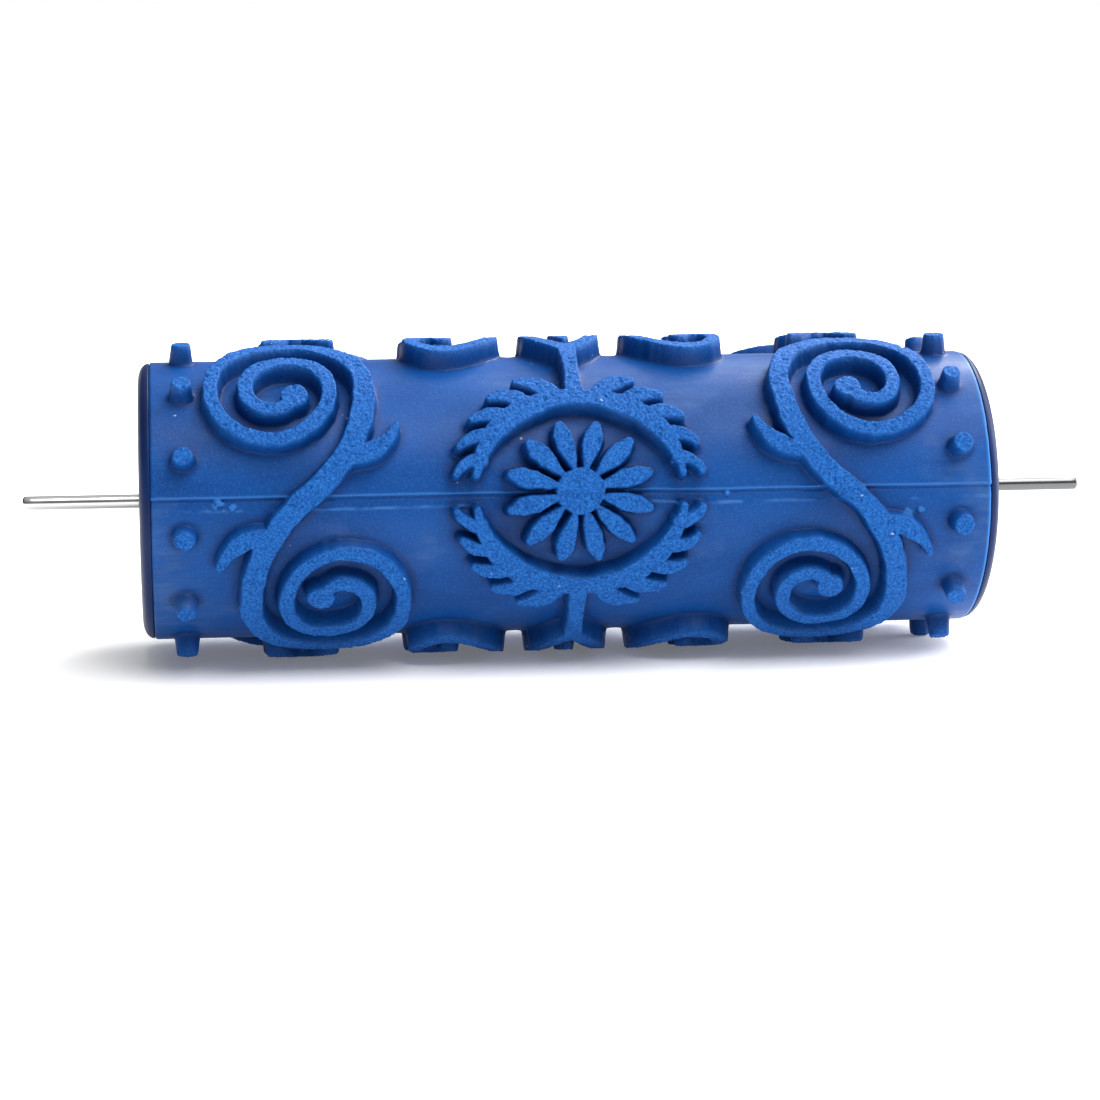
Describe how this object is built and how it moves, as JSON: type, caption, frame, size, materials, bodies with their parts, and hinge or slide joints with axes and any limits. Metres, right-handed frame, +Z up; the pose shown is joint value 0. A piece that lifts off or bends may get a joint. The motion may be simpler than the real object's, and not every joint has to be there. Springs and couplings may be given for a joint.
{
  "type": "textured pattern roller",
  "caption": "Decorating roller: a rubber sleeve with a raised damask relief on a rigid core with end plugs, turning on a straight steel rod that stands out at both ends.",
  "frame": {"origin": "centre of the drum, on the rod's axis", "axes": "+X along the rod, +Z up, the side with the fan above the bud faces -Y"},
  "size_m": [0.227, 0.0676, 0.0676],
  "materials": {
    "pattern_rubber": "satin moulded rubber, grainy on the relief tops",
    "cap_plastic": "satin navy plastic",
    "core_plastic": "plain matte plastic",
    "rod_steel": "drawn bright steel",
    "washer_steel": "pressed spring steel"
  },
  "bodies": {
    "axle": {"axle_rod": "rod_steel", "left_retaining_washer": "washer_steel", "right_retaining_washer": "washer_steel"},
    "drum": {"pattern_sleeve": "pattern_rubber", "core_tube": "core_plastic", "left_end_cap": "cap_plastic", "right_end_cap": "cap_plastic"}
  },
  "joints": [
    {"name": "drum_spin", "type": "hinge", "parent": "axle", "child": "drum", "pos_m": [0, 0, 0], "axis": [1, 0, 0], "continuous": true}
  ]
}
